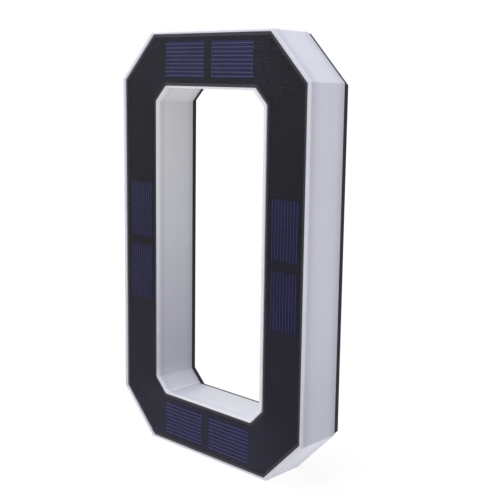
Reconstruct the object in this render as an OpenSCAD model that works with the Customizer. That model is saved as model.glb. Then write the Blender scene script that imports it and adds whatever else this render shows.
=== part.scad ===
// Solar house number sign in the shape of a block-cut zero.
// The front faces -Y, the wall side faces +Y, and the sign stands on its lower edge at Z = 0.

/* [Sign] */
// Width over the housing's front rim
sign_w = 123; // [116:1:140]
// Height over the housing's front rim
sign_h = 200; // [180:1:240]
// Depth from the front rim to the back of the rear cover
sign_d = 25.2; // [24.6:0.2:32]
// Width of the open window, measured at the front
window_w = 69; // [60:1:72]
// Height of the open window, measured at the front
window_h = 148.5; // [130:0.5:152]
// Leg of the 45 degree cut at each outer corner
corner_cut = 21.8; // [16:0.2:24]
// Leg of the 45 degree cut at each window corner
window_cut = 6.6; // [5:0.2:10]

/* [Housing] */
// Thickness of the outer walls at their rear edge
wall_t = 2; // [1.6:0.1:2.4]
// How far each outer wall leans in by its rear edge
draft = 0.6; // [0.2:0.1:1]
// How far each window wall leans away from the window by its rear edge
window_draft = 0.3; // [0.2:0.1:0.6]
// Bevel round the front rim
rim_bevel = 0.5; // [0.2:0.1:0.8]
// Thickness of the web behind the solar panel
web_t = 1.6; // [1.2:0.1:2]
// Outer diameter of a screw boss
boss_d = 5.6; // [5:0.2:6.4]
// Diameter of the pilot hole in a boss
pilot_d = 2.1; // [1.8:0.1:2.3]
// Depth of the pilot hole
pilot_depth = 9; // [8:0.5:12]
// Distance of a window side boss from the window wall's inner face to its axis
boss_reach = 2.2; // [1.8:0.1:2.6]
// Distance of the side screws above and below the middle
side_screw_rise = 28; // [20:1:36]
// Clearance between a corner screw's boss and the wall of the cut corner
corner_boss_gap = 3.5; // [2:0.5:5]

/* [Solar panel] */
// White rim left showing at each side of the panel
margin_side = 2.2; // [1.6:0.1:2.6]
// White rim left showing at the top and bottom of the panel
margin_end = 1.2; // [1:0.1:2]
// White rim left showing along the cut corners
margin_corner = 1.95; // [1.4:0.05:2.4]
// Clearance round the panel in its pocket
panel_gap = 0.2; // [0.1:0.05:0.3]
// Thickness of the black board
board_t = 1; // [0.8:0.1:1.6]
// Thickness of the clear film over the cells
film_t = 0.4; // [0.2:0.1:0.6]
// Thickness of the adhesive tape under the board
tape_t = 0.4; // [0.2:0.1:0.8]
// Width of the strips of adhesive tape
tape_w = 3; // [2:0.5:4]
// Distance from the board's edge to the tape
tape_inset = 1.2; // [0.8:0.1:2]
// Length of a solar cell
cell_l = 26.7; // [22:0.1:28]
// Width of a solar cell
cell_w = 16.1; // [12:0.1:17]
// Thickness of a solar cell
cell_t = 0.2; // [0.1:0.05:0.3]
// Gap between the two cells of a pair
cell_gap = 4.6; // [2:0.1:8]
// Clearance round a cell in its recess
cell_play = 0.1; // [0.05:0.05:0.2]
// How far the top and bottom pairs sit to the right of the middle
end_pair_shift = -1; // [-2:0.1:2]
// How far the top and bottom pairs sit outwards of their limb's middle
end_pair_out = 0.3; // [0:0.1:1]
// How far the side pairs sit above the middle
side_pair_shift = -0.5; // [-2:0.1:2]

/* [Rear cover] */
// Thickness of the cover plate
cover_t = 2.6; // [2.2:0.1:3.2]
// How far the cover's edge sits inside the outer wall's rear edge
cover_inset = 0.6; // [0.4:0.1:1]
// How much further inside the cover's edge sits along the cut outer corners
cover_corner_back = 0.5; // [0:0.1:0.8]
// Height of the locating lip
lip_h = 4; // [3:0.5:5]
// Thickness of the locating lip
lip_t = 1.4; // [1:0.1:1.8]
// Clearance between the lip and the housing wall
lip_gap = 0.2; // [0.1:0.05:0.3]
// Thickness of the seal as clamped
seal_t = 0.4; // [0.3:0.1:0.6]
// How far the seal stays back from the cover's edge
seal_back = 0.2; // [0.1:0.1:0.4]
// Clearance of the lip round a boss
lip_relief = 0.4; // [0.3:0.1:0.6]
// Thickness of the white reflector sheets
reflector_t = 0.3; // [0.2:0.1:0.4]
// Clearance of the reflectors round what stands on the cover
reflector_gap = 0.3; // [0.2:0.1:0.6]

/* [Cover screws] */
// Diameter over the thread
screw_d = 2.5; // [2.3:0.1:2.8]
// Diameter of the clearance hole in the cover
screw_hole_d = 2.9; // [2.8:0.1:3.2]
// Length under the head
screw_l = 8; // [7:0.5:9]
// Diameter of the head
screw_head_d = 4.6; // [4:0.1:5]
// Height of the head
screw_head_h = 1.3; // [1:0.1:1.6]
// Clearance round and over the head in its counterbore
screw_head_play = 0.2; // [0.1:0.1:0.4]
// Width of the arms of the cross recess
cross_w = 0.7; // [0.5:0.1:0.9]
// Length of the cross recess from tip to tip
cross_l = 2.6; // [2:0.1:3]
// Depth of the cross recess
cross_depth = 0.8; // [0.5:0.1:1]

/* [Keyholes] */
// Distance between the two keyholes
keyhole_span = 44; // [36:1:50]
// Height of the entry holes' centres above the middle of the top limb
keyhole_rise = -4.1; // [-4.5:0.1:-3.5]
// Radius of the hole that a screw head enters by
entry_r = 4.2; // [3.8:0.1:4.4]
// Radius of the slot that holds the screw's shank
slot_r = 2.1; // [1.8:0.1:2.4]
// How far the sign drops onto the screws
keyhole_drop = 7; // [5:0.5:7.5]
// Radius of the channel behind the slot
channel_r = 4.6; // [4.4:0.1:4.8]
// Depth of the channel behind the plate
channel_depth = 3.4; // [3:0.1:4]
// Wall of the pocket that closes the channel
pocket_wall = 1.2; // [1:0.1:1.4]

/* [Power button] */
// Distance of the button's axis below the middle of the sign
button_drop = 38; // [34:1:42]
// Radius of the button
button_r = 4; // [3.8:0.1:4.4]
// Running clearance round the button
button_play = 0.2; // [0.15:0.05:0.3]
// How far the button's face sits below the cover's outside
button_sink = 0.2; // [0.1:0.1:0.4]
// Travel of the button
button_travel = 1; // [0.6:0.1:1.2]
// Radius of the collar that keeps the button in
collar_r = 5.2; // [5:0.1:5.6]
// Thickness of the collar
collar_t = 1; // [0.8:0.1:1.2]
// Clearance between the collar and the cover at rest
collar_gap = 0.1; // [0.05:0.05:0.2]
// Radius of the stem that meets the switch
stem_r = 2; // [1.6:0.1:2.4]
// Radius of the ball that dishes the finger rest
dish_r = 14; // [12:1:20]
// Depth of the dished finger rest
dish_depth = 0.4; // [0.2:0.1:0.5]
// Cord radius of the sealing ring
ring_cord_r = 0.5; // [0.4:0.05:0.55]
// Clearance between the sealing ring and the bore
ring_play = 0.06; // [0.05:0.01:0.1]
// Play of the sealing ring in its groove
groove_play = 0.04; // [0.02:0.01:0.1]

/* [Control board] */
// Length of the board
pcb_l = 46; // [44:1:48]
// Width of the board
pcb_w = 15; // [14:0.5:15]
// Thickness of the board
pcb_t = 1.2; // [1:0.1:1.6]
// Clear height between the board and the cover
pcb_rise = 8.8; // [8.4:0.1:9.4]
// Clearance between the board's edge and the outer wall
pcb_wall_gap = 1.4; // [1:0.1:1.8]
// Clearance of the board's holes round its screws
board_hole_play = 0.1; // [0.05:0.05:0.2]
// Outer diameter of a standoff
standoff_d = 4.6; // [4:0.1:5]
// Distance of a standoff's axis from the board's end
standoff_in = 3; // [2.6:0.1:4]
// Diameter of the standoff's pilot hole
standoff_pilot_d = 1.6; // [1.4:0.1:1.8]
// Diameter over the board screw's thread
board_screw_d = 1.9; // [1.9:0.1:2.1]
// Length of the board screw under its head
board_screw_l = 5; // [4:0.5:6]
// Diameter of the board screw's head
board_screw_head_d = 3.6; // [3.4:0.1:4]
// Height of the board screw's head
board_screw_head_h = 1.2; // [1:0.1:1.4]
// Side of the square push switch
switch_w = 6; // [5:0.5:7]
// Height of the push switch's body
switch_h = 3.6; // [3.2:0.1:4]
// Radius of the switch plunger
plunger_r = 1.7; // [1.4:0.1:1.9]
// Clearance round the plunger
plunger_play = 0.06; // [0.05:0.01:0.1]
// How far the plunger stands out of the switch
plunger_out = 1.4; // [1.3:0.1:1.6]
// How far the plunger reaches into the switch
plunger_in = 0.8; // [0.6:0.1:1]
// Free depth left under the pressed plunger
plunger_spare = 0.3; // [0.2:0.1:0.5]
// Length of a wire socket
socket_l = 6; // [5:0.5:7]
// Width of a wire socket
socket_w = 4.4; // [4:0.1:4.8]
// Height of a wire socket
socket_h = 4.6; // [4:0.1:5]
// Length of a driver chip
chip_l = 5; // [4:0.5:6]
// Width of a driver chip
chip_w = 4; // [3:0.5:6]
// Height of a driver chip
chip_h = 1.5; // [1:0.1:2]
// Distance from the switch's axis to the middle of each driver chip
chip_offset = 11; // [9.5:0.5:12]
// Radius of the charging coil
coil_r = 2.8; // [2.4:0.1:3]
// Height of the charging coil
coil_h = 3; // [2.4:0.1:3.4]
// Distance from the switch's axis down to the coil's axis
coil_offset = 10; // [9:0.5:11]

/* [Battery] */
// Diameter of the round battery
battery_d = 14.2; // [13.8:0.1:14.6]
// Length of the round battery
battery_l = 50; // [48:0.5:51]
// Thickness of the foam pad under the battery
pad_t = 1; // [0.8:0.1:1.2]
// Length of the foam pad
pad_l = 22; // [16:1:24]
// Width of the foam pad
pad_w = 5; // [4:0.5:7]
// Distance of each saddle from the middle of the battery
saddle_at = 15; // [14:0.5:18]
// Thickness of a saddle
saddle_t = 3; // [2:0.5:4]
// How far a saddle reaches up the side of the battery
saddle_h = 6; // [5:0.5:7]
// Clearance between the battery and its saddles
saddle_gap = 0.1; // [0.1:0.05:0.3]
// Thickness of the nickel end tabs
tab_t = 0.3; // [0.2:0.05:0.4]
// Width of the nickel end tabs
tab_w = 5; // [4:0.5:7]

/* [Lights] */
// Width of a light bar
bar_w = 7; // [6:0.5:7.5]
// Thickness of a light bar's board
bar_t = 1; // [0.8:0.1:1.2]
// Length of the light bars in the side limbs
side_bar_l = 110; // [100:1:116]
// Length of the light bars in the top and bottom limbs
end_bar_l = 46; // [40:1:50]
// Number of lights on each side bar
side_lights = 6; // [4:1:9]
// Number of lights on each end bar
end_lights = 3; // [2:1:4]
// Length of one light
light_l = 3.5; // [3:0.1:4]
// Width of one light
light_w = 2.8; // [2.4:0.1:3.2]
// Height of one light
light_h = 0.8; // [0.6:0.1:1]

/* [Wires] */
// Radius over a wire's insulation
wire_r = 0.5; // [0.4:0.05:0.5]
// Distance between the two wires of a pair
wire_pitch = 1.5; // [1.4:0.1:1.8]
// Length of wire soldered down on a light bar's end
solder_l = 2.8; // [2:0.2:3]
// Radius of the hole in the web for the panel's wires
lead_hole_r = 1.8; // [1.8:0.1:2]
// Wall of the rubber grommet in that hole
grommet_wall = 0.6; // [0.5:0.1:0.7]
// Height of the grommet's flange inside the housing
grommet_flange_t = 0.8; // [0.6:0.1:1]
// Gap between the grommet's flange and the light bar beside it
grommet_gap = 0.3; // [0.2:0.1:0.5]
// Height of that hole above the middle of the sign
lead_hole_rise = -4; // [-5:0.5:0]

/* [Hidden] */

$fn = 48;
// Overrun of every cut past the face that it leaves by
over = 0.5;
root2 = sqrt(2);
sides = [-1, 1];

// Planes along the depth, from the front to the back
front_y = -sign_d / 2;
back_y = sign_d / 2;
film_y = front_y + film_t;
board_back_y = film_y + board_t;
pocket_y = board_back_y + tape_t;
web_y = pocket_y + web_t;
cover_y = back_y - cover_t;
wall_y = cover_y - seal_t;
mid_z = sign_h / 2;

// Middle lines of the limbs, and insets of the hollow and of the cover
side_limb_x = (sign_w + window_w) / 4;
end_limb_z = (sign_h + window_h) / 4;
end_limb_w = (sign_h - window_h) / 2;
wall_inset = wall_t + draft;
cover_edge = draft + cover_inset;
lip_edge = wall_inset + lip_gap;
hollow_in_x = window_w / 2 + wall_inset;

// Screw places about the middle of the sign, as [x, z]
corner_screw_back = wall_inset + boss_d / 2 + corner_boss_gap;
corner_reach = (sign_w + sign_h) / 2 - corner_cut - root2 * corner_screw_back;
corner_x = (corner_reach + side_limb_x - end_limb_z) / 2;
corner_z = (corner_reach + end_limb_z - side_limb_x) / 2;
boss_x = hollow_in_x + boss_reach;
screw_places = [
    for (sx = sides, sz = sides) [sx * corner_x, sz * corner_z],
    for (sx = sides, sz = sides) [sx * boss_x, sz * side_screw_rise]
];

// Middles of the cells, measured from the middle of the sign
cell_side_x = side_limb_x;
cell_end_z = end_limb_z + end_pair_out;
cell_step = (cell_l + cell_gap) / 2;

// Keyholes, control board, button and battery
button_z = mid_z - button_drop;
keyhole_z = mid_z + end_limb_z + keyhole_rise;
pocket_r = channel_r + pocket_wall;
pcb_x = -(sign_w / 2 - wall_inset - pcb_wall_gap - pcb_w / 2);
pcb_back_y = cover_y - pcb_rise;
pcb_front_y = pcb_back_y - pcb_t;
standoff_z = pcb_l / 2 - standoff_in;
switch_y = pcb_back_y + switch_h;
plunger_y = switch_y + plunger_out;
collar_y = cover_y - collar_gap;
button_face_y = back_y - button_sink;
ring_r = button_r + button_play - ring_play - ring_cord_r;
ring_y = cover_y + cover_t / 2;
groove_r = ring_r - ring_cord_r - groove_play;
groove_half = ring_cord_r + groove_play;
battery_r = battery_d / 2;
battery_y = cover_y - pad_t - battery_r;
battery_z = mid_z - end_limb_z;

// Sockets, light bars and the hole for the panel's wires
socket_x = pcb_x + (pcb_w - socket_w) / 2;
socket_z = (pcb_l - socket_l) / 2;
socket_y = pcb_back_y + socket_h / 2;
bar_y = web_y + bar_t;
light_y = bar_y + light_h;
lead_x = -(side_limb_x - bar_w / 2 - grommet_gap - grommet_wall - lead_hole_r);
lead_z = mid_z + lead_hole_rise;
half_pitch = wire_pitch / 2;
wire_sides = 8;

// An eight-cornered outline inset by s at its sides, e at its ends and c along its cut corners
function cut_outline(w, h, cut, s, e, c) =
    let (a = w / 2 - s, b = h / 2 - e, k = cut - s - e + c * root2)
    [[a - k, -b], [a, -b + k], [a, b - k], [a - k, b],
     [-a + k, b], [-a, b - k], [-a, -b + k], [-a + k, -b]];

module sign_outline(inset, corner_back = 0) {
    translate([0, mid_z]) polygon(cut_outline(sign_w, sign_h, corner_cut, inset, inset, inset + corner_back));
}

module window_outline(outset) {
    translate([0, mid_z]) polygon(cut_outline(window_w, window_h, window_cut, -outset, -outset, -outset));
}

// The flat shape of the limbs, inset from the outside and from the window
module limbs(outer_inset, window_inset) {
    difference() {
        sign_outline(outer_inset);
        window_outline(window_inset);
    }
}

// The solar panel's outer outline, inset by r
module panel_outline(r) {
    translate([0, mid_z])
        polygon(cut_outline(sign_w, sign_h, corner_cut, margin_side + r, margin_end + r, margin_corner + r));
}

// The solar panel's opening, widened by r
module panel_opening(r) {
    translate([0, mid_z])
        polygon(cut_outline(window_w, window_h, window_cut, -margin_side - r, -margin_end - r, -margin_corner - r));
}

module panel_shape(r) {
    difference() {
        panel_outline(r);
        panel_opening(r);
    }
}

// Extrudes a flat shape, drawn in X and Z, from depth y0 to depth y1
module slab(y0, y1) {
    translate([0, y1, 0]) rotate([90, 0, 0]) linear_extrude(height = y1 - y0) children();
}

// A round bar along Y from y0 to y1
module rod(x, z, y0, y1, r) {
    translate([x, y1, z]) rotate([90, 0, 0]) cylinder(h = y1 - y0, r = r);
}

// A box given by its middle in X and Z, its two depths, and its widths
module block(x, z, y0, y1, w, h) {
    translate([x - w / 2, y0, z - h / 2]) cube([w, y1 - y0, h]);
}

// A prism through eight-cornered stations, each [depth, inset]
module tapered(w, h, cut, stations) {
    n = len(stations);
    outlines = [for (s = stations) cut_outline(w, h, cut, s[1], s[1], s[1])];
    corners = len(outlines[0]);
    points = [for (j = [0 : n - 1]) for (p = outlines[j]) [p[0], stations[j][0], p[1] + mid_z]];
    walls = [for (j = [0 : n - 2]) for (i = [0 : corners - 1])
        let (k = (i + 1) % corners, a = j * corners, b = a + corners) [a + i, a + k, b + k, b + i]];
    first = [for (i = [corners - 1 : -1 : 0]) i];
    last = [for (i = [0 : corners - 1]) (n - 1) * corners + i];
    polyhedron(points, concat([first], walls, [last]));
}

// A wire swept along a route of points; ref is a direction that the route never takes
module wire(route, ref) {
    n = len(route);
    points = [for (i = [0 : n - 1])
        let (ahead = route[min(i + 1, n - 1)] - route[max(i - 1, 0)],
             t = ahead / norm(ahead),
             u = cross(t, ref) / norm(cross(t, ref)),
             v = cross(t, u))
        for (k = [0 : wire_sides - 1])
            route[i] + wire_r * (cos(360 * k / wire_sides) * u + sin(360 * k / wire_sides) * v)];
    walls = [for (i = [0 : n - 2]) for (k = [0 : wire_sides - 1])
        let (a = i * wire_sides, b = a + wire_sides, m = (k + 1) % wire_sides) [a + k, b + k, b + m, a + m]];
    first = [for (k = [0 : wire_sides - 1]) k];
    last = [for (k = [wire_sides - 1 : -1 : 0]) (n - 1) * wire_sides + k];
    polyhedron(points, concat([first], walls, [last]));
}

// A route moved sideways by k in the plane of X and Z, mitred at its bends
function beside(route, k) =
    let (n = len(route))
    [for (i = [0 : n - 1])
        let (a = route[max(i, 1)] - route[max(i, 1) - 1],
             b = route[min(i, n - 2) + 1] - route[min(i, n - 2)],
             side_a = [a[2], 0, -a[0]] / norm(a),
             side_b = [b[2], 0, -b[0]] / norm(b))
        route[i] + k * (side_a + side_b) / (1 + side_a * side_b)];

// A pan head screw along Y: its head rests at depth y and its tip points to -Y
module pan_screw(x, z, y, d, l, head_d, head_h) {
    difference() {
        union() {
            rod(x, z, y - l, y, d / 2);
            rod(x, z, y, y + head_h, head_d / 2);
        }
        block(x, z, y + head_h - cross_depth, y + head_h + over, cross_w, cross_l);
        block(x, z, y + head_h - cross_depth, y + head_h + over, cross_l, cross_w);
    }
}

module housing() color([0.93, 0.93, 0.96]) {
    difference() {
        union() {
            difference() {
                tapered(sign_w, sign_h, corner_cut,
                        [[front_y, rim_bevel], [front_y + rim_bevel, 0], [wall_y, draft]]);
                slab(web_y, wall_y + over) limbs(wall_inset, wall_inset);
            }
            for (p = screw_places)
                rod(p[0], mid_z + p[1], web_y - web_t / 2, wall_y, boss_d / 2);
        }
        tapered(window_w, window_h, window_cut,
                [[front_y - over, -rim_bevel - over], [front_y + rim_bevel, 0], [wall_y, -window_draft],
                 [wall_y + over, -window_draft]]);
        slab(front_y - over, pocket_y) panel_shape(-panel_gap);
        for (p = screw_places)
            rod(p[0], mid_z + p[1], cover_y - pilot_depth, cover_y, pilot_d / 2);
        rod(lead_x, lead_z, pocket_y - over, web_y + over, lead_hole_r);
    }
}

// A cell, or its recess, in the top limb (sz = 1) or the bottom limb (sz = -1)
module end_cell(sx, sz, y0, y1, grow) {
    block(end_pair_shift + sx * cell_step, mid_z + sz * cell_end_z, y0, y1, cell_l + grow, cell_w + grow);
}

// A cell, or its recess, in the right limb (sx = 1) or the left limb (sx = -1)
module side_cell(sx, sz, y0, y1, grow) {
    block(sx * cell_side_x, mid_z + side_pair_shift + sz * cell_step, y0, y1, cell_w + grow, cell_l + grow);
}

module lying_cell(sx, sz) color([0.17, 0.16, 0.30])
    end_cell(sx, sz, film_y, film_y + cell_t, 0);

module standing_cell(sx, sz) color([0.15, 0.15, 0.27])
    side_cell(sx, sz, film_y, film_y + cell_t, 0);

module solar_board() color([0.13, 0.13, 0.15]) {
    difference() {
        slab(film_y, board_back_y) panel_shape(0);
        for (sx = sides, sz = sides) {
            end_cell(sx, sz, film_y - over, film_y + cell_t, 2 * cell_play);
            side_cell(sx, sz, film_y - over, film_y + cell_t, 2 * cell_play);
        }
    }
}

module panel_film() color([0.2, 0.2, 0.24, 0.4])
    slab(front_y, film_y) panel_shape(0);

// Two closed loops of tape, one along the outer edge and one round the window
module panel_tape() color([0.85, 0.85, 0.87]) {
    difference() {
        slab(board_back_y, pocket_y) {
            difference() {
                panel_outline(tape_inset);
                panel_outline(tape_inset + tape_w);
            }
            difference() {
                panel_opening(tape_inset + tape_w);
                panel_opening(tape_inset);
            }
        }
        rod(lead_x, lead_z, board_back_y - over, pocket_y + over, lead_hole_r);
    }
}

module lead_grommet() color([0.12, 0.12, 0.13]) {
    difference() {
        union() {
            rod(lead_x, lead_z, pocket_y, web_y, lead_hole_r);
            rod(lead_x, lead_z, web_y, web_y + grommet_flange_t, lead_hole_r + grommet_wall);
        }
        rod(lead_x, lead_z, pocket_y - over, web_y + grommet_flange_t + over, lead_hole_r - grommet_wall);
    }
}

// The flat shape swept by a disc of radius r that drops through both keyholes
module drop_path(r) {
    for (x = sides * keyhole_span / 2) translate([x, keyhole_z]) {
        circle(r = r);
        translate([0, keyhole_drop]) circle(r = r);
        translate([-r, 0]) square([2 * r, keyhole_drop]);
    }
}

// The locating lip, as one ring in the outer wall and one round the window
module lip_rings() {
    difference() {
        sign_outline(lip_edge);
        sign_outline(lip_edge + lip_t);
    }
    difference() {
        window_outline(lip_edge + lip_t);
        window_outline(lip_edge);
    }
}

module battery_saddle(sx) {
    difference() {
        block(sx * saddle_at, battery_z, cover_y - saddle_h, cover_y, saddle_t, end_limb_w - 2 * lip_edge - lip_t);
        translate([sx * saddle_at - saddle_t, battery_y, battery_z]) rotate([0, 90, 0])
            cylinder(h = 2 * saddle_t, r = battery_r + saddle_gap);
    }
}

module rear_cover() color([0.16, 0.16, 0.18]) {
    difference() {
        union() {
            slab(cover_y, back_y) difference() {
                sign_outline(cover_edge, cover_corner_back);
                window_outline(cover_edge);
            }
            difference() {
                slab(cover_y - lip_h, cover_y) lip_rings();
                for (p = screw_places)
                    rod(p[0], mid_z + p[1], cover_y - lip_h - over, cover_y, boss_d / 2 + lip_relief);
            }
            slab(cover_y - channel_depth - pocket_wall, cover_y) drop_path(pocket_r);
            for (sz = sides)
                rod(pcb_x, button_z + sz * standoff_z, pcb_back_y, cover_y, standoff_d / 2);
            for (sx = sides)
                battery_saddle(sx);
        }
        slab(cover_y - channel_depth, cover_y) drop_path(channel_r);
        slab(cover_y - channel_depth, back_y + over) drop_path(slot_r);
        for (x = sides * keyhole_span / 2)
            rod(x, keyhole_z, cover_y - channel_depth, back_y + over, entry_r);
        for (p = screw_places) {
            rod(p[0], mid_z + p[1], cover_y - over, back_y + over, screw_hole_d / 2);
            rod(p[0], mid_z + p[1], back_y - screw_head_h - screw_head_play, back_y + over,
                screw_head_d / 2 + screw_head_play);
        }
        rod(pcb_x, button_z, cover_y - over, back_y + over, button_r + button_play);
        for (sz = sides)
            rod(pcb_x, button_z + sz * standoff_z, pcb_back_y - over, pcb_back_y + board_screw_l,
                standoff_pilot_d / 2);
    }
}

module outer_seal() color([0.10, 0.10, 0.11])
    slab(wall_y, cover_y) difference() {
        sign_outline(cover_edge + seal_back, cover_corner_back);
        sign_outline(wall_inset);
    }

module window_seal() color([0.10, 0.10, 0.11])
    slab(wall_y, cover_y) difference() {
        window_outline(wall_inset);
        window_outline(cover_edge + seal_back);
    }

module cover_screws() color([0.62, 0.63, 0.65]) {
    for (p = screw_places)
        pan_screw(p[0], mid_z + p[1], back_y - screw_head_h - screw_head_play,
                  screw_d, screw_l, screw_head_d, screw_head_h);
}

// A sheet down one side of the cover, cut away for the keyhole pockets and the battery
module reflector(sx) color([0.96, 0.96, 0.97]) {
    y0 = cover_y - reflector_t;
    edge = lip_edge + lip_t + reflector_gap;
    difference() {
        slab(y0, cover_y) intersection() {
            limbs(edge, edge);
            translate([sx * sign_w / 4 - sign_w / 4, 0]) square([sign_w / 2, sign_h]);
        }
        block(0, mid_z + end_limb_z, y0 - over, cover_y + over,
              keyhole_span + 2 * (pocket_r + reflector_gap), end_limb_w);
        block(0, battery_z, y0 - over, cover_y + over,
              2 * (saddle_at + reflector_gap) + saddle_t, end_limb_w);
        for (p = screw_places)
            rod(p[0], mid_z + p[1], y0 - over, cover_y + over, boss_d / 2 + lip_relief);
        rod(pcb_x, button_z, y0 - over, cover_y + over, collar_r + reflector_gap);
        for (sz = sides)
            rod(pcb_x, button_z + sz * standoff_z, y0 - over, cover_y + over, standoff_d / 2 + reflector_gap);
    }
}

module side_bar(sx) color([0.90, 0.91, 0.90])
    block(sx * side_limb_x, mid_z, web_y, bar_y, bar_w, side_bar_l);

module end_bar(sz) color([0.90, 0.91, 0.90])
    block(0, mid_z + sz * end_limb_z, web_y, bar_y, end_bar_l, bar_w);

// Offsets of n lights spread evenly over a bar of length l
function light_offsets(n, l) = [for (i = [0 : n - 1]) (i + 1 / 2) * l / n - l / 2];

module standing_lights(sx) color([0.95, 0.88, 0.55]) {
    for (z = light_offsets(side_lights, side_bar_l))
        block(sx * side_limb_x, mid_z + z, bar_y, light_y, light_w, light_l);
}

module lying_lights(sz) color([0.95, 0.88, 0.55]) {
    for (x = light_offsets(end_lights, end_bar_l))
        block(x, mid_z + sz * end_limb_z, bar_y, light_y, light_l, light_w);
}

module control_board() color([0.08, 0.32, 0.16]) {
    difference() {
        block(pcb_x, button_z, pcb_front_y, pcb_back_y, pcb_w, pcb_l);
        for (sz = sides)
            rod(pcb_x, button_z + sz * standoff_z, pcb_front_y - over, pcb_back_y + over,
                board_screw_d / 2 + board_hole_play);
    }
}

module board_screws() color([0.70, 0.70, 0.72]) {
    for (sz = sides)
        translate([pcb_x, pcb_front_y, button_z + sz * standoff_z]) rotate([0, 0, 180])
            pan_screw(0, 0, 0, board_screw_d, board_screw_l, board_screw_head_d, board_screw_head_h);
}

module driver_chips() color([0.11, 0.11, 0.12]) {
    for (sz = sides)
        block(pcb_x, button_z + sz * chip_offset, pcb_front_y - chip_h, pcb_front_y, chip_w, chip_l);
}

module charging_coil() color([0.22, 0.20, 0.19])
    rod(pcb_x, button_z - coil_offset, pcb_back_y, pcb_back_y + coil_h, coil_r);

module wire_sockets() color([0.92, 0.90, 0.84]) {
    for (sz = sides)
        block(socket_x, button_z + sz * socket_z, pcb_back_y, pcb_back_y + socket_h, socket_w, socket_l);
}

module power_switch() color([0.14, 0.14, 0.15]) {
    difference() {
        block(pcb_x, button_z, pcb_back_y, switch_y, switch_w, switch_w);
        rod(pcb_x, button_z, switch_y - plunger_in - button_travel - plunger_spare, switch_y + over,
            plunger_r + plunger_play);
    }
}

module switch_plunger() color([0.75, 0.20, 0.18])
    rod(pcb_x, button_z, switch_y - plunger_in, plunger_y, plunger_r);

module power_button() color([0.24, 0.24, 0.26]) {
    difference() {
        union() {
            rod(pcb_x, button_z, plunger_y, collar_y, stem_r);
            rod(pcb_x, button_z, collar_y - collar_t, collar_y, collar_r);
            rod(pcb_x, button_z, collar_y - collar_t, button_face_y, button_r);
        }
        difference() {
            rod(pcb_x, button_z, ring_y - groove_half, ring_y + groove_half, button_r + over);
            rod(pcb_x, button_z, ring_y - groove_half - over, ring_y + groove_half + over, groove_r);
        }
        translate([pcb_x, button_face_y + dish_r - dish_depth, button_z]) sphere(r = dish_r, $fn = 96);
    }
}

module button_ring() color([0.20, 0.08, 0.06])
    translate([pcb_x, ring_y, button_z]) rotate([90, 0, 0])
        rotate_extrude() translate([ring_r, 0]) circle(r = ring_cord_r);

module battery() color([0.16, 0.42, 0.66])
    translate([-battery_l / 2, battery_y, battery_z]) rotate([0, 90, 0])
        cylinder(h = battery_l, r = battery_r);

module battery_pad() color([0.30, 0.30, 0.32])
    block(0, battery_z, cover_y - pad_t, cover_y, pad_l, pad_w);

module battery_tabs() color([0.78, 0.78, 0.76]) {
    for (sx = sides)
        translate([(sx * (battery_l + tab_t) - tab_t) / 2, battery_y - tab_w / 2, battery_z - tab_w / 2])
            cube([tab_t, tab_w, tab_w]);
}

wire_colors = [[0.72, 0.10, 0.09], [0.08, 0.08, 0.09]];

// From the panel through the grommet to the board's upper socket
module panel_wires() {
    top = button_z + pcb_l / 2;
    fall = lead_z - top;
    depth = socket_y - web_y;
    near_wire = lead_hole_r - grommet_wall - wire_r;
    for (i = [0, 1]) color(wire_colors[i])
        wire([
            [lead_x + sides[i] * near_wire * 4 / 5, board_back_y, lead_z],
            [lead_x + sides[i] * near_wire * 4 / 5, web_y + grommet_flange_t, lead_z],
            [lead_x + sides[i] * half_pitch, web_y + depth / 3, lead_z - fall / 20],
            [(2 * lead_x + socket_x) / 3 + sides[i] * half_pitch, web_y + depth * 2 / 3, lead_z - fall / 4],
            [(lead_x + 2 * socket_x) / 3 + sides[i] * half_pitch, socket_y - depth / 12, lead_z - fall / 2],
            [socket_x + sides[i] * half_pitch, socket_y, top + fall / 4],
            [socket_x + sides[i] * half_pitch, socket_y, top]
        ], [1, 0, 0]);
}

// From the battery's tab round the window's corner to the board's lower socket
module battery_wires() {
    low = button_z - pcb_l / 2;
    climb = low - battery_z;
    start_x = -battery_l / 2 - tab_t;
    mean_y = (battery_y + socket_y) / 2;
    for (i = [0, 1]) color(wire_colors[i])
        wire([for (p = [
            [start_x, battery_y, battery_z],
            [start_x - wire_pitch, battery_y, battery_z],
            [start_x - tab_w, battery_y, battery_z + climb / 30],
            [-hollow_in_x, battery_y, battery_z + climb / 4],
            [(socket_x - hollow_in_x) / 2, mean_y, battery_z + climb / 2],
            [socket_x, socket_y, low - climb / 5],
            [socket_x, socket_y, low]
        ]) p + [0, sides[i] * half_pitch, 0]], [0, 1, 0]);
}

// From the control board forward to the left light bar
module light_feed_wires() {
    feed_z = mid_z - side_bar_l / 2 + side_bar_l / side_lights;
    for (i = [0, 1]) color(wire_colors[i])
        rod(-side_limb_x + sides[i] * half_pitch, feed_z, bar_y, pcb_front_y, wire_r);
}

// Pairs of wires that join the light bars round three corners
module light_link_wires() color([0.80, 0.80, 0.82]) {
    link_y = bar_y + wire_r;
    bar_end_z = side_bar_l / 2 - solder_l;
    bar_end_x = end_bar_l / 2 - solder_l;
    run = 2 * bar_w;
    for (c = [[-1, 1], [1, 1], [1, -1]], s = sides)
        wire(beside([
            [c[0] * side_limb_x, link_y, mid_z + c[1] * bar_end_z],
            [c[0] * side_limb_x, link_y, mid_z + c[1] * (bar_end_z + run)],
            [c[0] * (bar_end_x + run), link_y, mid_z + c[1] * end_limb_z],
            [c[0] * bar_end_x, link_y, mid_z + c[1] * end_limb_z]
        ], s * half_pitch), [0, 1, 0]);
}

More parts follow.
